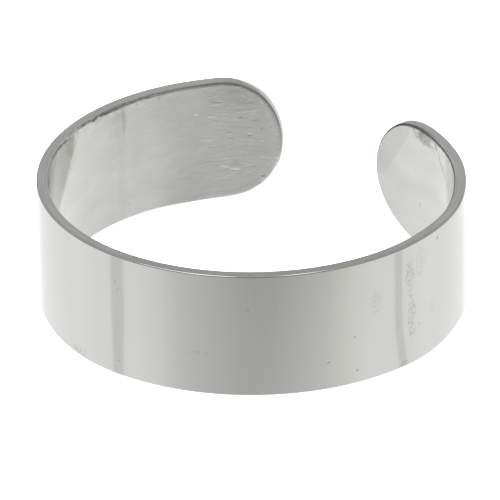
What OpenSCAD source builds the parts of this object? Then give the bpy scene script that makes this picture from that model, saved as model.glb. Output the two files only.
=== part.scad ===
// Adjustable finger ring: one flat metal strip with round ends, bent into an open band.
// It lies on its side. Z runs through the finger hole, -Y is the front of the band, and the
// gap between the two ends is at the back right. The origin is under the middle of the band.

/* [Strip] */
// Width of the flat strip, which is the height of the ring as it lies
strip_width = 6; // [4:0.5:8]
// Thickness of the strip
strip_thickness = 0.53; // [0.4:0.01:0.8]
// Bevel along the long edges of the strip
edge_bevel = 0.08; // [0.02:0.01:0.15]

/* [Front bend] */
// Outer radius of the front of the band
front_radius = 10.25; // [9:0.05:12]
// Turn from the front point to the side bend of the long arm, in degrees
front_turn_long = 38; // [36:0.5:42]
// Turn from the front point to the side bend of the short arm, in degrees
front_turn_short = 31; // [26:0.5:34]

/* [Long arm] */
// Outer radius of the side bend
long_side_radius = 9.3; // [8:0.05:11]
// Turn of the side bend, in degrees
long_side_turn = 70.5; // [68:0.5:75]
// Outer radius of the end bend
long_end_radius = 9.5; // [8:0.05:11]
// Turn of the end bend up to its tip, in degrees
long_end_turn = 82; // [78:0.5:86]

/* [Short arm] */
// Outer radius of the side bend
short_side_radius = 8.65; // [8:0.05:11]
// Turn of the side bend, in degrees
short_side_turn = 87.5; // [80:0.5:90]
// Outer radius of the end bend
short_end_radius = 12; // [8:0.05:14]
// Turn of the end bend up to its tip, in degrees
short_end_turn = 19.5; // [15:0.5:24]

/* [Hidden] */

// The columns of an arm's table, which has a row for each bend from the front point to the tip
RADIUS = 0;
TURN = 1;

long_arm = [
    [front_radius, front_turn_long],
    [long_side_radius, long_side_turn],
    [long_end_radius, long_end_turn],
];
short_arm = [
    [front_radius, front_turn_short],
    [short_side_radius, short_side_turn],
    [short_end_radius, short_end_turn],
];

// The ends are cut to a half circle across the strip
tip_radius = strip_width / 2;
// Longest step between two stations along the strip
station_step = 0.75;
// Stations round each end, half a step short of the middle of its tip
tip_steps = 8;

// Angle that an arm has turned through when a bend starts
function heading(arm, bend) = bend == 0 ? 0 : heading(arm, bend - 1) + arm[bend - 1][TURN];

// Centre of a bend. Each bend starts in line with the one before, so its centre lies on the
// line from the last centre to the point where they meet.
function centre(arm, bend) =
    bend == 0
        ? [0, 0]
        : let (h = heading(arm, bend))
            centre(arm, bend - 1)
            + (arm[bend - 1][RADIUS] - arm[bend][RADIUS]) * [sin(h), -cos(h)];

// Length along the middle of the strip from the front point to the start of a bend
function run_to(arm, bend) =
    bend == 0
        ? 0
        : run_to(arm, bend - 1)
            + (arm[bend - 1][RADIUS] - strip_thickness / 2) * arm[bend - 1][TURN] * PI / 180;

function arm_length(arm) = run_to(arm, len(arm));

// The bend that a length along an arm falls in
function bend_at(arm, run) = run < run_to(arm, 1) ? 0 : run < run_to(arm, 2) ? 1 : 2;

// Plan position of a point of an arm, at a length along it and a depth below the outer face
function arm_point(arm, run, depth) =
    let (
        bend = bend_at(arm, run),
        past = (run - run_to(arm, bend)) / (arm[bend][RADIUS] - strip_thickness / 2),
        h = heading(arm, bend) + past * 180 / PI
    )
    centre(arm, bend) + (arm[bend][RADIUS] - depth) * [sin(h), -cos(h)];

// How far an arm reaches sideways from the centre of the front bend
function side_reach(arm) = centre(arm, 1).x + arm[1][RADIUS];
// How far it reaches to the back
function back_reach(arm) = centre(arm, 2).y + arm[2][RADIUS];

// Place of the front bend's centre, with the middle of the whole band over the origin
front_centre = [
    (side_reach(long_arm) - side_reach(short_arm)) / 2,
    (front_radius - back_reach(long_arm)) / 2,
];

// A point of the wall. The length is counted from the front point, negative along the long
// arm, the depth from the outer face, and the rise from half the strip's width.
function wall_point(run, depth, rise) =
    let (
        p = arm_point(run < 0 ? long_arm : short_arm, abs(run), depth),
        side = run < 0 ? -1 : 1
    )
    [side * p.x + front_centre.x, p.y + front_centre.y, strip_width / 2 + rise];

// The columns of a station: the length and half height of the two faces' outline there, and
// of the outline past the bevels
FACE_RUN = 0;
FACE_RISE = 1;
EDGE_RUN = 2;
EDGE_RISE = 3;

// Stations round one end, from the strip's full width to the tip. Side is -1 or 1.
function tip_stations(arm, side) =
    let (middle = arm_length(arm) - tip_radius, face_radius = tip_radius - edge_bevel)
    [
        for (i = [1:tip_steps])
            let (a = 90 * (i - 0.5) / tip_steps)
            [
                side * (middle + face_radius * sin(a)),
                face_radius * cos(a),
                side * (middle + tip_radius * sin(a)),
                tip_radius * cos(a),
            ],
    ];

// Stations of the full width, from where one round end starts to where the other does
body_start = tip_radius - arm_length(long_arm);
body_length = arm_length(long_arm) + arm_length(short_arm) - strip_width;
body_steps = ceil(body_length / station_step);
body_stations = [
    for (i = [0:body_steps])
        let (run = body_start + body_length * i / body_steps)
        [run, tip_radius - edge_bevel, run, tip_radius],
];

function reversed(list) = [for (i = [len(list) - 1:-1:0]) list[i]];

stations = concat(
    reversed(tip_stations(long_arm, -1)),
    body_stations,
    tip_stations(short_arm, 1)
);

// Corners of the strip's section at a station, going round it from the foot of the outer face
function section(at) = [
    wall_point(at[FACE_RUN], 0, -at[FACE_RISE]),
    wall_point(at[FACE_RUN], 0, at[FACE_RISE]),
    wall_point(at[EDGE_RUN], edge_bevel, at[EDGE_RISE]),
    wall_point(at[EDGE_RUN], strip_thickness - edge_bevel, at[EDGE_RISE]),
    wall_point(at[FACE_RUN], strip_thickness, at[FACE_RISE]),
    wall_point(at[FACE_RUN], strip_thickness, -at[FACE_RISE]),
    wall_point(at[EDGE_RUN], strip_thickness - edge_bevel, -at[EDGE_RISE]),
    wall_point(at[EDGE_RUN], edge_bevel, -at[EDGE_RISE]),
];
corners = 8;

// The middle facet of a tip and the two bevels beside it, at the last station
tip_cap = [[0, 1, 2, 7], [7, 2, 3, 6], [6, 3, 4, 5]];

// The whole wall as one closed solid
module strip_wall() {
    last = len(stations) - 1;
    polyhedron(
        points = [for (at = stations) each section(at)],
        faces = concat(
            [
                for (i = [0:last - 1], j = [0:corners - 1])
                    let (k = (j + 1) % corners)
                    [
                        i * corners + j,
                        i * corners + k,
                        (i + 1) * corners + k,
                        (i + 1) * corners + j,
                    ],
            ],
            [for (cap = tip_cap) reversed(cap)],
            [for (cap = tip_cap) [for (j = cap) last * corners + j]]
        )
    );
}

module band() {
    color("silver") strip_wall();
}

band();
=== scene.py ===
import math

import bmesh
import bpy
from mathutils import Matrix, Vector, noise


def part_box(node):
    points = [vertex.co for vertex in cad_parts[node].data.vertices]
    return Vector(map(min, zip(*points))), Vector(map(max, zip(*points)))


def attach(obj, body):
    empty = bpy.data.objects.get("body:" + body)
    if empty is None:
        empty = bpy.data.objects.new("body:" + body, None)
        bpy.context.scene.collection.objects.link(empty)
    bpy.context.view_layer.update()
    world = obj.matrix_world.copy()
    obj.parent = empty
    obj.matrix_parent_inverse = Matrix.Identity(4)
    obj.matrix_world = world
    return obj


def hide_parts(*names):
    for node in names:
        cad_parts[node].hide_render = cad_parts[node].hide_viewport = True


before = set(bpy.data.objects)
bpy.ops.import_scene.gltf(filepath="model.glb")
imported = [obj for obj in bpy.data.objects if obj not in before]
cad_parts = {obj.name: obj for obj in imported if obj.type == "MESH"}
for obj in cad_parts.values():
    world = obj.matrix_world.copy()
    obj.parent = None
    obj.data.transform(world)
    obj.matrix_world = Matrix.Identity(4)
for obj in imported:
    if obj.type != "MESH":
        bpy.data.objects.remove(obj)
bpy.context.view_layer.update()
mm = 0.001

# The strip as the solid has it, in millimetres. A bend is its outer radius and its turn in
# degrees, and an arm lists them from the front point of the band to the tip.
strip = {
    "thickness": 0.53,
    "longArm": [(10.25, 38.0), (9.3, 70.5), (9.5, 82.0)],
    "shortArm": [(10.25, 31.0), (8.65, 87.5), (12.0, 19.5)],
}
bandLow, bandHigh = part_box("band")
stripWidth = (bandHigh.z - bandLow.z) / mm
tipRadius = stripWidth / 2


# Runs, headings and centres

def headingWay(angle):
    # the way out of the band at a heading, which is 0 at the front point
    return Vector((math.sin(angle), -math.cos(angle)))


def layOut(arm):
    # one row for each bend: where it starts along the strip, its heading there and its centre
    rows, run, heading = [], 0.0, 0.0
    centre, before = Vector((0.0, 0.0)), arm[0][0]
    for radius, turn in arm:
        centre = centre + (before - radius) * headingWay(heading)
        rows.append({"run": run, "heading": heading, "centre": centre, "radius": radius})
        run += (radius - strip["thickness"] / 2) * math.radians(turn)
        heading += math.radians(turn)
        before = radius
    return rows, run


longRows, longLength = layOut(strip["longArm"])
shortRows, shortLength = layOut(strip["shortArm"])


def sideReach(rows):
    return rows[1]["centre"].x + rows[1]["radius"]


frontCentre = Vector((
    (sideReach(longRows) - sideReach(shortRows)) / 2,
    (longRows[0]["radius"] - longRows[2]["centre"].y - longRows[2]["radius"]) / 2,
))


def bent(run, depth, rise):
    # where a point of the flat blank goes, in metres: its length from the front point, its
    # depth below the outer face and its height from the strip's middle line
    rows = longRows if run < 0 else shortRows
    row = [r for r in rows if r["run"] <= abs(run)][-1]
    past = (abs(run) - row["run"]) / (row["radius"] - strip["thickness"] / 2)
    flat = row["centre"] + (row["radius"] - depth) * headingWay(row["heading"] + past)
    side = -1 if run < 0 else 1
    return Vector((side * flat.x + frontCentre.x, flat.y + frontCentre.y, tipRadius + rise)) * mm


# Shader maths

class Wire:
    # one output in a node tree; operators on it add Math nodes
    def __init__(self, tree, socket=None):
        self.tree = tree
        self.socket = socket

    def add(self, kind, settings, sockets, out=0):
        # any node: its settings go in first, then the values or links of its sockets
        node = self.tree.nodes.new(kind)
        for name, value in settings.items():
            if name == "stops":
                ramp = node.color_ramp
                while len(ramp.elements) < len(value):
                    ramp.elements.new(0.5)
                for stop, (at, level) in zip(ramp.elements, value):
                    stop.position = at
                    stop.color = (level, level, level, 1)
            else:
                setattr(node, name, value)
        for key, value in sockets.items():
            if isinstance(value, Wire):
                self.tree.links.new(value.socket, node.inputs[key])
            else:
                node.inputs[key].default_value = value
        return Wire(self.tree, node.outputs[out] if node.outputs else None)

    def maths(self, operation, *values):
        return self.add("ShaderNodeMath", {"operation": operation}, dict(enumerate(values)))

    def __add__(self, other):
        return self.maths("ADD", self, other)

    def __radd__(self, other):
        return self.maths("ADD", other, self)

    def __sub__(self, other):
        return self.maths("SUBTRACT", self, other)

    def __rsub__(self, other):
        return self.maths("SUBTRACT", other, self)

    def __mul__(self, other):
        return self.maths("MULTIPLY", self, other)

    def __rmul__(self, other):
        return self.maths("MULTIPLY", other, self)

    def __truediv__(self, other):
        return self.maths("DIVIDE", self, other)

    def __abs__(self):
        return self.maths("ABSOLUTE", self)

    def fused(self, factor, more):
        # self * factor + more in one node
        return self.maths("MULTIPLY_ADD", self, factor, more)

    def smooth(self, low, high):
        # 0 at low, 1 at high and a soft rise between; low may be the larger
        ends = (0.0, 1.0) if low < high else (1.0, 0.0)
        return self.add(
            "ShaderNodeMapRange",
            {"interpolation_type": "SMOOTHSTEP"},
            {"Value": self, "From Min": min(low, high), "From Max": max(low, high),
             "To Min": ends[0], "To Max": ends[1]},
        )


# Camera at the photograph's angle. The distance and lens fit its edges.
view = {
    "elevation": 29.11,     # degrees above the floor
    "roll": -1.05,          # degrees
    "distance": 419.6,      # from the aim
    "lens": 665.1,
    "sensor": 36,
    "clipStart": 0.05,      # metres
    "aim": (-0.3, 0.0, -1.263),     # from the front bend's centre at half height
}


def makeCamera():
    data = bpy.data.cameras.new("camera")
    data.sensor_width = view["sensor"]
    data.lens = view["lens"]
    data.clip_start = view["clipStart"]
    camera = bpy.data.objects.new("camera", data)
    bpy.context.scene.collection.objects.link(camera)
    tilt, roll = math.radians(view["elevation"]), math.radians(view["roll"])
    back = Vector((0, -math.cos(tilt), math.sin(tilt)))
    right = Vector((
        math.cos(roll), math.sin(roll) * math.sin(tilt), math.sin(roll) * math.cos(tilt),
    ))
    up = back.cross(right)
    aim = Vector((frontCentre.x, frontCentre.y, tipRadius)) + Vector(view["aim"])
    place = Matrix((right, up, back)).transposed().to_4x4()
    place.translation = (aim + back * view["distance"]) * mm
    camera.matrix_world = place
    bpy.context.scene.camera = camera


# The room that the band mirrors, round a white sweep: a floor that is darker in front, where the
# camera stands, grey above the horizon, two narrow gaps in the light at the sides and three small
# lamps overhead. Angles are degrees, a plus azimuth is to the right of the front, and x, y and z
# are the parts of a direction of length 1. A pair is where a change begins and is full.
room = {
    "floorTurn": 1.5,
    # azimuth to either side and level
    "floorLevels": [
        (0, 0.50), (10, 0.52), (20, 0.565), (31, 0.63), (38, 0.675), (45, 0.745), (52, 0.825),
        (58, 0.86), (63, 0.885), (90, 0.925), (104, 0.97), (115, 0.965), (130, 0.985),
        (150, 1.03), (165, 1.15), (173, 1.3), (180, 1.0),
    ],
    # degrees below the horizon and level, towards the front
    "nearLevels": [
        (0, 0.62), (12, 0.76), (20, 0.88), (29, 1.0), (38, 1.10), (50, 1.20), (90, 1.45),
    ],
    "nearSpan": (0.3, -0.5),       # y
    "gaps": [(-76.1, 0.195, 4.75), (79.35, 0.185, 3.25)],      # azimuth, darkness, half width
    "gapEdge": 1.1,
    "under": (1.4, 42, 62),        # level right under the ring, and the slopes it comes in at
    "roof": 0.43,
    # the roof is darker low in front, and low behind it is paler on the right, darker on the left
    "frontSpan": (0.5, 0.15),      # y
    "darkBand": 0.19,
    "darkHeights": (0.8, 0.35),    # z
    "backWall": 0.45,
    "wallSpan": (-0.12, 0.2),      # x
    "backBand": 0.20,
    "bandSpan": (-0.12, -0.22),    # x
    "backHeights": (0.42, 0.18),   # z
    # each lamp's x, half width, lowest z and level; it is full this near to its middle line and
    # this far above its lowest z
    "lamps": [(-0.30, 0.07, 0.85, 3.4), (-0.15, 0.06, 0.91, 2.6), (0.165, 0.09, 0.91, 2.2)],
    "lampCore": 0.02,
    "lampRise": 0.04,
    "horizon": (-0.34, -0.10),     # z
    # a direction in front, and the level at each angle from it
    "front": (0.0, -0.97, 0.24),
    "frontLevels": [(0, 0.55), (12, 0.62), (32, 0.92), (45, 1.0)],
    "floorLight": 3.4,             # lights the floor; the band mirrors the levels above instead
}


def makeRoom():
    world = bpy.data.worlds.new("room")
    bpy.context.scene.world = world
    world.use_nodes = True
    tree = world.node_tree
    tree.nodes.clear()
    start = Wire(tree)
    way = start.add("ShaderNodeTexCoord", {}, {}, "Generated")
    x, y, z = (way.add("ShaderNodeSeparateXYZ", {}, {0: way}, i) for i in range(3))

    def levels(angle, span, stops):
        ramp = [(at / span, level) for at, level in stops]
        return angle.add("ShaderNodeValToRGB", {"stops": ramp}, {0: angle / span})

    azimuth = x.maths("ARCTAN2", x, y * -1) * (180 / math.pi)
    downward = z.maths("ARCSINE", z) * (-180 / math.pi)
    floor = levels(abs(azimuth + room["floorTurn"]), 180, room["floorLevels"])
    for at, dark, half in room["gaps"]:
        floor = floor * (1 - dark * abs(azimuth - at).smooth(half, half - room["gapEdge"]))
    # the level changes with the slope only towards the front
    slope = levels(downward, 90, room["nearLevels"]) - 1
    floor = floor * (1 + slope * y.smooth(*room["nearSpan"]))
    under, *slopes = room["under"]
    floor = floor + (under - floor) * downward.smooth(*slopes)

    inFront = y.smooth(*room["frontSpan"])
    roof = room["roof"] - room["darkBand"] * inFront * z.smooth(*room["darkHeights"])
    behind = room["backWall"] * x.smooth(*room["wallSpan"])
    behind = behind - room["backBand"] * x.smooth(*room["bandSpan"])
    roof = roof + behind * (1 - inFront) * z.smooth(*room["backHeights"])
    for at, half, low, lamp in room["lamps"]:
        across = abs(x - at).smooth(half, room["lampCore"])
        roof = roof + lamp * across * z.smooth(low, low + room["lampRise"])
    above = z.smooth(*room["horizon"])
    level = floor * (1 - above) + roof * above
    cosine = way.add("ShaderNodeVectorMath", {"operation": "DOT_PRODUCT"},
                     {0: way, 1: Vector(room["front"]).normalized()}, "Value")
    fromFront = cosine.maths("ARCCOSINE", cosine) * (180 / math.pi)
    level = level * levels(fromFront, 90, room["frontLevels"])

    isGlossy = start.add("ShaderNodeLightPath", {}, {}, "Is Glossy Ray")
    isCamera = start.add("ShaderNodeLightPath", {}, {}, "Is Camera Ray")
    plain = room["floorLight"] * (1 - isCamera) + isCamera
    shown = level * isGlossy + plain * (1 - isGlossy)
    colour = start.add("ShaderNodeCombineColor", {}, {0: shown, 1: shown, 2: shown})
    back = start.add("ShaderNodeBackground", {}, {"Color": colour, "Strength": 1.0})
    start.add("ShaderNodeOutputWorld", {}, {"Surface": back})


# The floor is plain and pale. It gives a little light of its own, so no contact shadow shows.
floorPlane = {"size": 0.4, "level": 0.9, "roughness": 0.9, "glow": 0.5}     # size in metres


def makeFloor():
    bm = bmesh.new()
    bmesh.ops.create_grid(bm, x_segments=1, y_segments=1, size=floorPlane["size"])
    mesh = bpy.data.meshes.new("floor")
    bm.to_mesh(mesh)
    bm.free()
    floor = bpy.data.objects.new("floor", mesh)
    bpy.context.scene.collection.objects.link(floor)
    floor.visible_glossy = False
    material = bpy.data.materials.new("paleFloor")
    material.use_nodes = True
    shader = material.node_tree.nodes["Principled BSDF"]
    level = floorPlane["level"]
    shader.inputs["Base Color"].default_value = (level, level, level, 1)
    shader.inputs["Roughness"].default_value = floorPlane["roughness"]
    shader.inputs["Specular IOR Level"].default_value = 0.0
    shader.inputs["Emission Color"].default_value = (1, 1, 1, 1)
    shader.inputs["Emission Strength"].default_value = floorPlane["glow"]
    mesh.materials.append(material)


# The band: a flat blank with round ends is drawn, its edges are rounded, and it is bent.
# The outer edge is crisp. The inner face rolls over towards its edge. Lengths are millimetres,
# a pair is where a change begins and is full, and "at" and "spread" give a hump.
band = {
    "strides": 24,          # stretches on each long side, each cut again
    "strideCuts": 17,
    "faceRows": 11,
    "rimRows": 5,
    "tipSteps": 44,
    "edgeSegments": 5,
    "mergeDistance": 0.001,
    "outerRadius": 0.05,    # bevel of the outer edge
    "rollDepth": 0.045,     # how much of the rim the inner edge's roll takes
    "rollHeight": 0.13,     # and how much of the inner face
    "rollOffset": 0.08,     # how far its two corners are rounded, on the face and on the rim
    "rimOffset": 0.02,
    "guard": 0.015,         # a row this close to a rounded edge keeps the flats flat
    "growth": 1.012,        # the real strip is this much wider than the solid
    "innerFace": (0.8, 0.95),       # parts of the thickness where the inner face begins
    # the inner roll is narrower on the right side and along the lower edge
    "narrowRoll": {"size": 0.6, "runs": (7, 12), "rises": (-1, -2), "insets": (0.12, 0.52)},
    # the ends change from this far before their tips. The long one is longer and higher, its
    # lower corner is fuller and its upper shoulder swells. The short one leans.
    "endStretch": 5,
    "longEnd": {
        "longer": 0.03, "tip": (3.5, 4.7),
        "upper": 0.03, "round": (2, 3.5), "top": (0, 1.5),
        "corner": 0.09, "foot": (-0.3, -1.6),
        "swell": {"size": 0.055, "way": (-0.35, 0.95), "at": 4.05, "spread": 0.5},
        "outset": 0.055, "outsetPast": (1.3, 3.8), "outsetRises": (-1.4, -0.2),
        "worn": 0.06, "wornPast": (2.2, 4.0),
    },
    "shortEnd": {
        "lean": {"size": 0.03, "at": 1.4, "spread": 0.9},
        "drop": {"size": 0.035, "at": 2.6, "spread": 0.6},
        "top": (0, 2), "outset": 0.02, "outsetPast": (0, 2), "worn": 0.01,
    },
    # an end's rim stands out at the outer face and is worn round towards it
    "wornDepth": 0.42,
    "outsetInset": 0.5,
    "outerCrown": 0.008,    # the faces stand this much higher at the middle line
    "frontCrown": {"size": 0.055, "at": 1.5, "spread": 2.6},
    "innerCrown": 0.05,
    "wave": {"size": 0.0015, "length": 2.6, "layer": 7},
    # the right side stands out a little, its outer face more than its inner one
    "bulge": {"outer": 0.045, "inner": 0.014, "at": 15.6, "spread": 3.4},
    # the sides lean: run, spread, how far the top stands out and how far the foot stands in
    "slants": [(10.9, 1.7, 0.085, 0.05), (-11.3, 1.6, 0.0, 0.035), (-27.2, 1.7, 0.0, 0.11)],
    # towards the lower of two rises, the two sides are bent a little less or more
    "twists": [
        {"slope": 0.034, "at": 6.8, "spread": 1.3, "rises": (-0.2, -3.2)},
        {"slope": -0.015, "at": -6.3, "spread": 0.7, "rises": (0.6, -2.6)},
    ],
    # the long end's lower edge rolls a little towards the outer face
    "lowerRoll": {"size": 0.075, "width": 0.42, "rises": (-0.6, -1.8), "runs": (-26, -28.5)},
    # on the long arm, a burr along the inner edges and a nick in the upper one
    "innerEdge": {"inward": (0.75, 0.95), "height": (2.7, 2.9)},
    "burr": {"size": 0.02, "waves": 3.2, "layer": 3, "at": -22.6, "spread": 2.6},
    "nick": {"size": 0.084, "at": -21.06, "spread": 0.09, "rises": (2.6, 3.0)},
}


def halfSection(bm):
    # upper half of the strip's section, open at the middle line, with its corners rounded
    t, r, guard = strip["thickness"], tipRadius, band["guard"]
    rollTop, rollFoot = t - band["rollDepth"], r - band["rollHeight"]
    faceOffset = band["rollOffset"]
    corners = [
        (0, 0), (0, r - band["outerRadius"] - guard), (0, r), (band["outerRadius"] + guard, r),
        (rollTop - band["rimOffset"] - guard, r), (rollTop, r), (t, rollFoot),
        (t, rollFoot - faceOffset - guard), (t, r - band["lowerRoll"]["width"]), (t, 0),
    ]
    verts = [bm.verts.new((0, depth, rise)) for depth, rise in corners]
    edges = [bm.edges.new(pair) for pair in zip(verts, verts[1:])]
    rounds = [
        (verts[2], band["outerRadius"]), (verts[5], band["rimOffset"]), (verts[6], faceOffset),
    ]
    for vert, offset in rounds:
        bmesh.ops.bevel(
            bm, geom=[vert], affect="VERTICES", offset=offset,
            segments=band["edgeSegments"], profile=0.5, material=-1,
        )
    bmesh.ops.subdivide_edges(bm, edges=[edges[0], edges[-1]], cuts=band["faceRows"])
    bmesh.ops.subdivide_edges(bm, edges=[edges[3], edges[-2]], cuts=band["rimRows"])
    return list(bm.verts) + list(bm.edges)


def makeBlank():
    # the half section is carried once round the blank's middle: along, round a tip, back and
    # round the other tip. The long stretches are then divided evenly.
    bm = bmesh.new()
    section = halfSection(bm)
    start, end = tipRadius - longLength, shortLength - tipRadius
    bmesh.ops.translate(bm, verts=bm.verts, vec=(start, 0, 0))
    strides = band["strides"]
    stride = (end - start) / strides
    legs = [
        {"angle": 0, "dvec": (stride, 0, 0), "steps": strides, "cent": (0, 0, 0)},
        {"angle": math.pi, "dvec": (0, 0, 0), "steps": band["tipSteps"], "cent": (end, 0, 0)},
        {"angle": 0, "dvec": (-stride, 0, 0), "steps": strides, "cent": (0, 0, 0)},
        {"angle": math.pi, "dvec": (0, 0, 0), "steps": band["tipSteps"], "cent": (start, 0, 0)},
    ]
    for leg in legs:
        section = bmesh.ops.spin(bm, geom=section, axis=(0, 1, 0), **leg)["geom_last"]
    bmesh.ops.remove_doubles(bm, verts=bm.verts, dist=band["mergeDistance"])
    along = [e for e in bm.edges if abs(e.verts[0].co.x - e.verts[1].co.x) > stride * 0.9]
    bmesh.ops.subdivide_edges(bm, edges=along, cuts=band["strideCuts"], use_grid_fill=True)
    bmesh.ops.recalc_face_normals(bm, faces=bm.faces)
    return bm


def smooth(x, low, high):
    # 0 at low, 1 at high and a soft rise between; low may be the larger
    x = max(0.0, min(1.0, (x - low) / (high - low)))
    return x * x * (3 - 2 * x)


def hump(x, shape):
    # 1 at the middle of a hump, falling off to both sides
    away = (x - shape["at"]) / shape["spread"]
    return math.exp(-away * away)


def borderOf(run, rise):
    # how far a point of the blank is in from its outline, and the way straight out to it
    start, end = tipRadius - longLength, shortLength - tipRadius
    out = Vector((run - max(start, min(end, run)), rise))
    reach = out.length
    return tipRadius - reach, out / max(reach, 1e-6)


def movedRound(run, depth, rise, moved):
    # the round of an end and its worn rim; moved is where the point has gone so far
    inward = depth / strip["thickness"]
    inset, out = borderOf(run, rise)
    if run > 0:
        end, past = band["shortEnd"], run - (shortLength - band["endStretch"])
        onEnd = smooth(past, *end["outsetPast"])
        top = smooth(rise, *end["top"])
        for shape, side in ((end["lean"], 1), (end["drop"], -1)):
            moved.y += side * shape["size"] * hump(past, shape) * top
        wear = 1
    else:
        end, past = band["longEnd"], -run - (longLength - band["endStretch"])
        onEnd = smooth(past, *end["outsetPast"]) * smooth(rise, *end["outsetRises"])
        onRound = smooth(past, *end["round"])
        top = smooth(rise, *end["top"])
        moved.x -= end["longer"] * smooth(past, *end["tip"])
        moved -= Vector((1, 1)) * end["corner"] * onRound * smooth(rise, *end["foot"])
        moved.y += end["upper"] * onRound * top
        swell = end["swell"]
        moved += Vector(swell["way"]) * swell["size"] * hump(past, swell) * top
        wear = smooth(past, *end["wornPast"])
    wear *= max(0, 1 - depth / band["wornDepth"]) ** 2
    outset = end["outset"] * (1 - inward ** 2) - end["worn"] * wear
    return moved + out * outset * onEnd * max(0, 1 - inset / band["outsetInset"])


def movedDepth(run, depth, rise, inset, onInner):
    # crowns, waves, bulge, leaning and twisted sides, and the long end's lower edge
    inward = depth / strip["thickness"]
    front = band["frontCrown"]
    crown = band["outerCrown"] + front["size"] * hump(run, front)
    crown = crown * (1 - inward) - band["innerCrown"] * inward
    depth -= crown * (1 - (rise / tipRadius) ** 2)
    wave = band["wave"]
    depth += wave["size"] * noise.noise(Vector((run, rise, wave["layer"])) / wave["length"])
    bulge = band["bulge"]
    stand = bulge["outer"] * (1 - inward) + bulge["inner"] * inward
    depth -= stand * hump(run, bulge)
    for at, spread, top, foot in band["slants"]:
        lean = top if rise > 0 else -foot
        depth -= lean * (rise / tipRadius) ** 2 * hump(run, {"at": at, "spread": spread})
    for twist in band["twists"]:
        past = run - twist["at"]
        if abs(past) < 3 * twist["spread"]:
            depth -= twist["slope"] * smooth(rise, *twist["rises"]) * past * hump(run, twist)
    roll = band["lowerRoll"]
    rolled = max(0, 1 - inset / roll["width"]) ** 2 * smooth(rise, *roll["rises"])
    return depth - roll["size"] * rolled * onInner * smooth(run, *roll["runs"])


def worn(run, depth, rise):
    # the blank's small departures from flat
    inward = depth / strip["thickness"]
    inset, out = borderOf(run, rise)
    onInner = smooth(inward, *band["innerFace"])
    moved = Vector((run, rise))

    narrow = band["narrowRoll"]
    share = max(smooth(run, *narrow["runs"]), smooth(rise, *narrow["rises"]))
    near = 1 - smooth(inset, *narrow["insets"])
    moved += out * narrow["size"] * share * inset * onInner * near
    moved = movedRound(run, depth, rise, moved)
    depth = movedDepth(run, depth, rise, inset, onInner)

    moved.y = max(moved.y, -tipRadius)      # the lower edge stays on the floor
    height = (moved.y + tipRadius) * band["growth"] - tipRadius
    burr, nick, place = band["burr"], band["nick"], band["innerEdge"]
    edge = smooth(inward, *place["inward"]) * smooth(abs(rise), *place["height"])
    if edge > 0 and run < 0:
        tooth = burr["size"] * noise.noise(Vector((run * burr["waves"], rise, burr["layer"])))
        tooth *= edge * hump(run, burr)
        dent = nick["size"] * hump(run, nick) * smooth(rise, *nick["rises"])
        depth += tooth
        height += tooth - inward * dent
    return moved.x, depth, height


def makeBand():
    bm = makeBlank()
    flat = bm.verts.layers.float_vector.new("flat")
    inset = bm.verts.layers.float.new("inset")
    for v in bm.verts:
        v[flat] = v.co
        v[inset] = borderOf(v.co.x, v.co.z)[0]
        v.co = bent(*worn(*v.co))
    for face in bm.faces:
        face.smooth = True
    mesh = bpy.data.meshes.new("bandStrip")
    bm.to_mesh(mesh)
    openEdges = sum(1 for e in bm.edges if len(e.link_faces) != 2)
    bm.free()
    piece = bpy.data.objects.new("bandStrip", mesh)
    bpy.context.scene.collection.objects.link(piece)
    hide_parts("band")
    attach(piece, "root")
    print("band made:", len(mesh.polygons), "faces,", openEdges, "open edges")
    return piece


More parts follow.
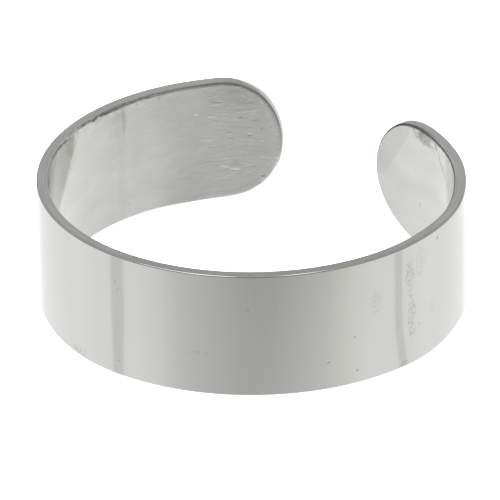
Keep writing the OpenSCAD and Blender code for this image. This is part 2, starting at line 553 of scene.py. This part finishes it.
# The steel. Places on the strip are (run, rise) in millimetres, sizes are half widths, relief is
# in micrometres, and a pair is where a change begins and is full.
steel = {
    "colour": {
        "outer": (0.70, 0.70, 0.685), "inner": (0.705, 0.709, 0.686), "rim": (0.65, 0.655, 0.64),
    },
    "roughness": {"outer": 0.08, "rim": 0.2, "inner": 0.13, "innerEnd": 0.21},
    "roughRuns": (-20.5, -23.5),
    # where the inner and the outer face begin, by depth
    "innerDepths": (0.38, 0.50),
    "outerDepths": (0.09, 0.03),
    # noises: waves for each millimetre along and across the strip, layer, detail and turn
    "grains": {
        "ragged": (3.0, 3.0, 8.4, 2.0, 0.0),
        "lines": (1.9, 10.5, 1.7, 3.0, 0.0),
        "linePatches": (0.8, 0.8, 4.4, 2.0, 0.0),
        "dimples": (1.6, 2.6, 6.3, 4.0, 0.0),
        "clouds": (0.5, 0.9, 3.1, 4.0, 0.0),
        "streaks": (2.6, 5.0, 2.6, 3.0, 0.6),
        "kinks": (2.4, 2.4, 5.8, 3.0, 0.0),
        "pits": (4.0, 5.0, 2.6, 4.0, 0.0),
        "speckles": (4.5, 7.5, 7.7, 2.0, -0.4),
        "flecks": (9.0, 5.0, 9.2, 4.0, 0.35),
        "rimPatches": (1.3, 1.3, 4.1, 2.0, 0.0),
        "rimLines": (0.6, 9.0, 5.5, 3.0, 0.0),
    },
    "raggedness": 0.9,
    # how far out a stain and a mark are full, of 1 at their border
    "spotCore": 0.3,
    "strokeCore": 0.15,
    # inner face: fine marks of drawing along the strip, strongest at the long end and weaker
    # towards its lower edge
    "drawn": {
        "light": (0.56, 0.68), "dark": (0.44, 0.32), "runs": (-25.5, -28.3), "elsewhere": 0.12,
        "patches": (0.32, 0.56), "weaker": 0.6, "rises": (-1.0, -1.9), "relief": 3.2, "tone": 0.065,
    },
    "dimpleRelief": 12.0,
    "cloudTone": 0.22,
    # inner face marks; painted shade and highlight on the short arm: both ends, half width, how
    # much lighter
    "marksAndPaintedLines": [
        (-29.22, 2.69, -28.80, 2.68, 0.030, 0.40), (-29.30, 2.19, -29.12, 2.19, 0.030, 0.22),
        (-29.00, 2.21, -28.70, 2.22, 0.025, 0.15), (-28.25, 1.95, -27.40, 2.09, 0.038, -0.32),
        (-28.25, 1.82, -27.50, 1.89, 0.060, 0.20), (-27.02, 1.47, -26.72, 1.53, 0.050, 0.30),
        (-27.90, 1.24, -27.40, 1.30, 0.045, 0.20), (-27.78, 1.37, -27.38, 1.41, 0.035, -0.15),
        (-29.20, 1.14, -28.83, 1.14, 0.042, -0.34), (-29.95, 0.96, -29.50, 0.97, 0.035, -0.26),
        (-28.65, 0.93, -28.15, 0.98, 0.030, -0.16), (-29.80, 0.60, -28.30, 0.73, 0.070, -0.12),
        (-30.12, 0.52, -29.88, 0.53, 0.035, -0.26), (-28.68, 0.44, -28.30, 0.44, 0.035, -0.20),
        (-28.68, 0.31, -28.30, 0.31, 0.030, 0.22), (-29.57, 0.33, -29.33, 0.33, 0.038, 0.28),
        (-29.57, 0.21, -29.33, 0.21, 0.038, -0.42), (-28.97, 0.28, -28.76, 0.29, 0.028, 0.26),
        (-28.75, 0.12, -28.40, 0.10, 0.035, -0.20), (-30.18, -0.04, -29.86, -0.05, 0.034, 0.50),
        (-29.88, -0.05, -29.35, 0.02, 0.022, 0.16), (-29.38, -0.30, -29.16, -0.31, 0.045, -0.17),
        (-28.58, -0.32, -28.36, -0.33, 0.032, 0.24), (-28.95, -1.46, -28.40, -1.42, 0.045, 0.60),
        (-28.50, -1.39, -27.95, -1.22, 0.060, 0.28), (-29.62, -1.44, -29.48, -1.47, 0.035, 0.28),
        (-29.68, -1.27, -29.48, -1.35, 0.035, -0.15), (-29.08, -1.65, -28.70, -1.67, 0.032, -0.18),
        (-30.08, -1.71, -29.78, -1.79, 0.038, -0.36), (-30.00, -1.87, -29.78, -1.88, 0.026, 0.22),
        (-29.78, -2.08, -29.65, -2.10, 0.045, -0.28), (-28.55, -1.58, -28.32, -1.58, 0.026, 0.16),
        (-28.55, -1.77, -28.32, -1.77, 0.026, 0.14), (-30.58, 0.68, -30.38, 0.67, 0.032, -0.22),
        (-30.52, 0.82, -30.38, 0.82, 0.028, 0.16), (-29.85, 1.85, -28.50, 1.88, 0.075, -0.12),
        (-30.10, 1.50, -28.20, 1.56, 0.090, -0.08), (-29.90, 2.45, -28.20, 2.50, 0.110, -0.08),
        (-23.34, -2.27, -23.14, -2.25, 0.070, -0.14), (19.03, -0.60, 19.05, -1.05, 0.050, -0.28),
        (18.92, -0.48, 18.97, -0.80, 0.045, 0.12), (17.80, 2.78, 17.40, 2.50, 0.100, -0.42),
        (17.50, 2.62, 16.55, 1.68, 0.085, -0.31), (16.50, 1.48, 16.38, 1.20, 0.090, 0.10),
        (16.10, 0.66, 16.40, 0.56, 0.035, -0.12),
    ],
    # inner face stains and painted shade (short arm, wedge border): middle, half sizes and how much
    # darker
    "stainsAndPaintedShade": [
        (-23.03, 2.15, 0.15, 0.85, 0.14), (-23.16, 2.12, 0.16, 0.09, 0.10),
        (-21.40, 2.72, 0.26, 0.16, 0.12), (-28.75, -1.12, 0.24, 0.16, 0.10),
        (19.30, 2.79, 0.82, 0.36, 0.22), (18.62, 2.58, 0.62, 0.34, 0.32),
        (-18.98, 2.80, 0.58, 1.15, 0.20),
    ],
    "stainTear": 1.7,
    # the rough part at the foot of the short arm: its border goes through a point at a slope
    "roughFoot": {
        "run": 17.8, "rise": 2.75, "slope": 1.25, "edge": (0.0, 0.15), "runs": (13.8, 15.0),
        "rises": (-0.2, 1.0), "streaks": 0.30, "kinkSpan": (0.05, 0.01), "kinks": 0.11,
        "darker": 0.03,
    },
    "pits": {"insets": (0.5, 0.2), "relief": 9.0},
    "speckles": {"light": (0.58, 0.66), "lighter": 0.26, "dark": (0.42, 0.34), "darker": 0.24},
    # how light the inner face is, and painted light and shade along the arms: how much lighter, and
    # the runs
    "innerLevel": 0.97,
    "innerPaintedLevels": [(-0.09, -18.0, -22.0), (0.24, -25.0, -28.5)],
    # rows of shades: how much lighter, and the places that it comes in over, with from and to
    "speckledBorder": [
        (1.0, ("speckles",), ("inset", 0.55, 0.2), ("rise", 2.2, 2.5), ("run", -26.5, -24.5),
         ("run", -16.5, -18.0)),
        (1.0, ("speckles",), ("inset", 0.55, 0.2), ("rise", 2.2, 2.5), ("run", 14, 15)),
    ],
    # painted shade on the long end's top and the short arm's upper half; a painted highlight on a
    # stripe
    "innerPaintedShadeAndHighlight": [
        (-0.13, ("rise", 0.8, 2.7), ("run", -26.0, -28.5)),     # top of the long end
        (-0.045, ("run", 13.0, 16.5), ("rise", -1.0, 0.5)),     # upper half of the short arm
        (0.055, ("fromStripe", 0.8, 0.25), ("rise", 1.7, 1.2)),     # pale stripe
    ],
    "paleStripe": -22.9,
    # the painted reflection of the long arm beside the stripe: the top of its left border, how that
    # leans and bends, how torn it is, where it begins, and a painted dark line before a pale inside
    "wedge": {
        "top": (-19.58, 2.92), "slope": 0.216, "bend": 0.145, "torn": 0.3, "edge": (-0.02, 0.06),
        "rises": (-0.3, 0.6), "darker": 0.07, "line": (0.8, 0.3), "lighter": 0.06,
        "inside": (0.5, 1.0),
    },
    # painted shade over the left part of the short end, beyond a leaning border
    "paintedShadeLeaf": {
        "run": 21.4, "lean": 0.63, "edge": (-0.03, 0.12), "rises": (-0.7, 0.4), "darker": 0.09,
    },
    # painted shade: a dark line where the inner face meets the rim, narrower towards the short end
    "crease": {"depths": (0.46, 0.50), "insets": (0.24, 0.12)},
    "narrowCrease": {"runs": (16.2, 17.4), "insets": (0.19, 0.10)},
    "creasePaintedShade": [
        (-0.42, ("crease",), ("run", 9.0, 13.0), ("narrowed",)),
        (-0.24, ("crease",), ("run", -9.0, -12.0), ("run", -19.0, -17.0)),
    ],
    # small dull dots on the outer face: run, rise, half size and strength
    "dots": [
        (-0.42, 1.40, 0.12, 0.35), (0.75, 1.35, 0.08, 0.30), (3.05, -1.60, 0.08, 1.0),
        (4.40, -2.30, 0.08, 1.0), (4.30, -0.60, 0.06, 1.0), (9.15, 2.55, 0.13, 1.0),
        (7.80, -1.15, 0.08, 0.6), (-6.54, -2.24, 0.06, 1.0),
    ],
    "dotDepth": 6.0,
    "dotTone": 0.20,
    # patches where the outer face is scuffed: middle, half sizes and strength
    "scuffs": [
        (7.26, 1.40, 0.34, 1.10, 1.0), (7.36, -0.60, 0.30, 1.35, 1.0),
        (7.95, 1.90, 0.45, 0.95, 0.4), (5.38, 0.90, 0.32, 0.80, 0.4),
        (8.70, -0.70, 0.20, 0.40, 0.5), (-8.95, -2.70, 0.6, 0.30, 0.8),
        (-6.50, 1.45, 0.28, 0.70, 0.6), (-2.60, -0.95, 0.60, 0.12, 0.4),
    ],
    "scuffTear": 1.2,
    "flecks": {
        "dark": (0.48, 0.62), "light": (0.42, 0.34), "lighter": 0.35, "depth": 3.0, "tone": 0.16,
        "smudge": 0.045,
    },
    # a dark smudge at the lower edge: middle, half sizes and how much darker
    "barFoot": (6.92, -2.82, 0.28, 0.20, 0.12),
    "footTear": 0.6,
    "rimLinesAndPaintedShade": [
        # at both ends, a painted shade line along the inner edge
        (-0.30, ("run", -25.0, -28.0), ("rise", -1.5, 0.5), ("depth", 0.36, 0.42),
         ("inset", 0.10, 0.05)),
        (-0.30, ("run", 17.0, 18.5), ("rise", 0.5, 1.5), ("depth", 0.36, 0.42),
         ("inset", 0.10, 0.05)),
        # long end: painted highlight on the tip's outer half and lower border, painted shade on the
        # shoulder
        (0.25, ("rim",), ("run", -30.7, -31.0), ("depth", 0.34, 0.10)),
        (-0.20, ("rim",), ("run", -28.2, -29.2), ("run", -30.7, -30.1), ("rise", 0, 1),
         ("depth", 0.42, 0.30)),
        (0.70, ("run", -25.5, -28.0), ("rise", -0.7, -2.4), ("depth", 0.2, 0.4),
         ("inset", 0.30, 0.02)),
        # both sides: a patched darker line along the outer edge, a faint painted shade line by the
        # inner edge
        (-0.14, ("patched",), ("rim",), ("side", 3.0, 5.0), ("side", 14.0, 12.0),
         ("depth", 0.14, 0.08)),
        (-0.10, ("rim",), ("side", 3.0, 5.0), ("side", 14.0, 12.0), ("depth", 0.33, 0.38)),
        (0.42, ("rim",), ("rimLines",)),        # fine lines of the cut
        # painted shade on the rim in front
        (-0.15, ("rim",), ("side", 10.0, 4.0)),     # darker in front
    ],
    "rimPatches": (0.35, 0.6),
    # the steel is a little yellower beside the wedge, at the short end, inside a slanting border,
    # and on a stripe in front
    "yellow": {
        "tint": 0.018, "wedgeRuns": ((-22.6, -21.0), (-18.0, -19.0)), "endRuns": (19.3, 20.0),
        "border": 21.6, "borderEdge": (-0.5, 0.1), "stripeRun": 4.0, "stripe": (0.75, 0.35),
        "stripeStrength": 1.6,
    },
}


def shaded(tone, at, rows):
    # at gives the places by name; one without from and to is taken as it is
    for lighter, *places in rows:
        for name, *span in places:
            lighter = lighter * (at[name].smooth(*span) if span else at[name])
        tone = tone * (1 + lighter)
    return tone


def readPlaces(start):
    # the flat blank's coordinates at a point of the band, and which face the point is on
    flat = start.add("ShaderNodeAttribute", {"attribute_name": "flat"}, {}, "Vector")
    inset = start.add("ShaderNodeAttribute", {"attribute_name": "inset"}, {}, "Fac")
    run, depth, rise = (flat.add("ShaderNodeSeparateXYZ", {}, {0: flat}, i) for i in range(3))
    inner = depth.smooth(*steel["innerDepths"])
    outer = depth.smooth(*steel["outerDepths"])
    return {
        "run": run, "depth": depth, "rise": rise, "inset": inset, "side": abs(run),
        "inner": inner, "outer": outer, "rim": 1 - inner - outer,
        "onFace": run.add("ShaderNodeCombineXYZ", {}, {0: run, 1: rise}),
        "onRim": run.add("ShaderNodeCombineXYZ", {}, {0: run, 1: depth}),
    }


def grain(at, name, place="onFace"):
    # smooth noise on the strip, about 0.5
    alongRun, alongOther, layer, detail, turn = steel["grains"][name]
    place = at[place]
    spread = place.add("ShaderNodeMapping", {}, {
        "Vector": place, "Location": (0, 0, layer), "Rotation": (0, 0, turn),
        "Scale": (alongRun, alongOther, 1),
    })
    settings = {"Vector": spread, "Scale": 1.0, "Detail": detail}
    return spread.add("ShaderNodeTexNoise", {}, settings, 0)


def reach(at, middle, half, along=(1, 0)):
    # square of the distance from an oval's middle, which is 1 on the oval
    middle, along = Vector(middle), Vector(along)
    squares = 0
    for way, size in ((along, half[0]), (Vector((-along.y, along.x)), half[1])):
        part = at["run"].fused(way.x / size, -middle.dot(way) / size)
        part = at["rise"].fused(way.y / size, part)
        squares = part.fused(part, squares)
    return squares


def spot(at, middleRun, middleRise, halfRun, halfRise, torn=0.0):
    # 1 inside an oval on the strip, soft or torn towards its border
    away = reach(at, (middleRun, middleRise), (halfRun, halfRise))
    if torn:
        away = at["ragged"].fused(torn, away)
    return away.smooth(1.0, steel["spotCore"])


def stroke(at, fromRun, fromRise, toRun, toRise, halfWidth):
    # 1 inside a thin oval from one point to another
    a, b = Vector((fromRun, fromRise)), Vector((toRun, toRise))
    length = (b - a).length
    away = reach(at, (a + b) / 2, (length / 2, halfWidth), (b - a) / length)
    return away.smooth(1.0, steel["strokeCore"])


def innerFace(at):
    run, rise, inset = at["run"], at["rise"], at["inset"]
    values = steel["drawn"]
    lines = grain(at, "lines")
    drawn = lines.smooth(*values["light"]) - lines.smooth(*values["dark"])
    share = values["elsewhere"] + (1 - values["elsewhere"]) * run.smooth(*values["runs"])
    drawn = drawn * share * grain(at, "linePatches").smooth(*values["patches"])
    drawn = drawn * (1 - values["weaker"] * rise.smooth(*values["rises"]))
    relief = drawn * values["relief"] + grain(at, "dimples") * steel["dimpleRelief"]
    clouds = (grain(at, "clouds") - 0.5) * steel["cloudTone"]
    tone = (1 + clouds) * (1 + drawn * values["tone"])

    # marks, with painted shade and highlight lines on the short arm
    lighter = 0
    for *ends, halfWidth, light in steel["marksAndPaintedLines"]:
        lighter = stroke(at, *ends, halfWidth).fused(light, lighter)
    tone = tone * (1 + lighter)
    # stains, with painted shade on the short arm and by the wedge
    for *place, dark in steel["stainsAndPaintedShade"]:
        tone = tone * (1 - dark * spot(at, *place, torn=steel["stainTear"]))

    foot = steel["roughFoot"]
    inside = foot["run"] - run - (foot["rise"] - rise) * foot["slope"]
    rough = inside.smooth(*foot["edge"]) * run.smooth(*foot["runs"]) * rise.smooth(*foot["rises"])
    streaks = (grain(at, "streaks") - 0.5) * foot["streaks"]
    kinks = abs(grain(at, "kinks") - 0.5).smooth(*foot["kinkSpan"]) * foot["kinks"]
    tone = tone * (1 + rough * (streaks - kinks - foot["darker"]))
    pitted = (rough + inset.smooth(*steel["pits"]["insets"])) * grain(at, "pits")
    relief = relief + pitted * steel["pits"]["relief"]

    values = steel["speckles"]
    speckles = grain(at, "speckles")
    light = speckles.smooth(*values["light"]) * values["lighter"]
    at = at | {"speckles": light - speckles.smooth(*values["dark"]) * values["darker"]}
    tone = shaded(tone, at, steel["speckledBorder"])
    # painted light and shade: the inner face's level is lighter at the long end and darker before
    # it
    level = steel["innerLevel"]
    for lighter, *runs in steel["innerPaintedLevels"]:
        level = level + lighter * run.smooth(*runs)
    at["fromStripe"] = abs(run - steel["paleStripe"])
    # the painted level, then the rows of painted shade and highlight
    tone = shaded(tone * level, at, steel["innerPaintedShadeAndHighlight"])

    # painted reflection: a dark line, then a paler inside, beyond a torn border that leans and
    # bends
    wedge = steel["wedge"]
    drop = wedge["top"][1] - rise
    past = run - wedge["top"][0] - drop * wedge["slope"] - drop * drop * wedge["bend"]
    past = past + at["ragged"] * wedge["torn"]
    within = past.smooth(*wedge["edge"]) * rise.smooth(*wedge["rises"])
    tone = tone * (1 - wedge["darker"] * within * past.smooth(*wedge["line"]))
    tone = tone * (1 + wedge["lighter"] * within * past.smooth(*wedge["inside"]))
    # painted shade beyond a leaning border on the short end
    leaf = steel["paintedShadeLeaf"]
    beyond = (run + rise * leaf["lean"] - leaf["run"]).smooth(*leaf["edge"])
    tone = tone * (1 - leaf["darker"] * beyond * rise.smooth(*leaf["rises"]))

    # painted shade along the line where the inner face meets the rim
    crease, narrow = steel["crease"], steel["narrowCrease"]
    at["crease"] = at["depth"].smooth(*crease["depths"]) * inset.smooth(*crease["insets"])
    at["narrowed"] = 1 - run.smooth(*narrow["runs"]) * (1 - inset.smooth(*narrow["insets"]))
    tone = shaded(tone, at, steel["creasePaintedShade"])
    return 1 + at["inner"] * (tone - 1), relief * at["inner"]


def outerFace(at, tone, relief):
    outer = at["outer"]
    for run, rise, size, strength in steel["dots"]:
        dot = spot(at, run, rise, size, size) * outer * strength
        relief = relief - dot * steel["dotDepth"]
        tone = tone * (1 - steel["dotTone"] * dot)
    values = steel["flecks"]
    flecks = grain(at, "flecks")
    flecks = flecks.smooth(*values["dark"]) - flecks.smooth(*values["light"]) * values["lighter"]
    scuffed = 0
    for *place, strength in steel["scuffs"]:
        scuffed = spot(at, *place, torn=steel["scuffTear"]).fused(strength, scuffed)
    scuff = scuffed * flecks * outer
    relief = relief - scuff * values["depth"]
    tone = tone * (1 - values["tone"] * scuff - values["smudge"] * outer * scuffed)
    *place, dark = steel["barFoot"]
    tone = tone * (1 - dark * spot(at, *place, torn=steel["footTear"]) * outer)
    return tone, relief


def yellowness(at):
    values = steel["yellow"]
    run, rise = at["run"], at["rise"]
    begins, stops = values["wedgeRuns"]
    atWedge = run.smooth(*begins) * run.smooth(*stops)
    atShort = run.smooth(*values["endRuns"])
    atShort = atShort * (rise - run + values["border"]).smooth(*values["borderEdge"])
    stripe = abs(run - values["stripeRun"]).smooth(*values["stripe"])
    return at["inner"] * (atWedge + atShort) + values["stripeStrength"] * at["outer"] * stripe


def makeSteel():
    material = bpy.data.materials.new("rolledSteel")
    material.use_nodes = True
    tree = material.node_tree
    shader = tree.nodes["Principled BSDF"]
    start = Wire(tree)
    at = readPlaces(start)
    at["ragged"] = (grain(at, "ragged") - 0.5) * steel["raggedness"]
    tone, relief = outerFace(at, *innerFace(at))
    at["patched"] = 1 + grain(at, "rimPatches").smooth(*steel["rimPatches"])
    at["rimLines"] = grain(at, "rimLines", "onRim") - 0.5
    # painted shade and highlight along the rim and its edges, with the fine lines of the rim's cut
    tone = shaded(tone, at, steel["rimLinesAndPaintedShade"])

    inner, outer, rim = at["inner"], at["outer"], at["rim"]
    values = steel["roughness"]
    more = (values["innerEnd"] - values["inner"]) * at["run"].smooth(*steel["roughRuns"])
    roughness = outer * values["outer"] + rim * values["rim"] + inner * (values["inner"] + more)
    colours = steel["colour"]
    levels = zip(colours["outer"], colours["inner"], colours["rim"])
    parts = [(outer * onOuter + inner * onInner + rim * onRim) * tone
             for onOuter, onInner, onRim in levels]
    parts[2] = parts[2] * (1 - yellowness(at) * steel["yellow"]["tint"])
    colour = start.add("ShaderNodeCombineColor", {}, dict(enumerate(parts)))
    micrometre = mm / 1000
    heights = {"Strength": 1.0, "Distance": micrometre, "Height": relief}
    bump = start.add("ShaderNodeBump", {}, heights)
    shader.inputs["Metallic"].default_value = 1.0
    tree.links.new(colour.socket, shader.inputs["Base Color"])
    tree.links.new(roughness.socket, shader.inputs["Roughness"])
    tree.links.new(bump.socket, shader.inputs["Normal"])
    return material


bpy.context.scene.view_settings.view_transform = "Standard"
makeCamera()
makeRoom()
makeFloor()
print("camera, room and floor made")
bandStrip = makeBand()
bandStrip.data.materials.append(makeSteel())
print("steel made")
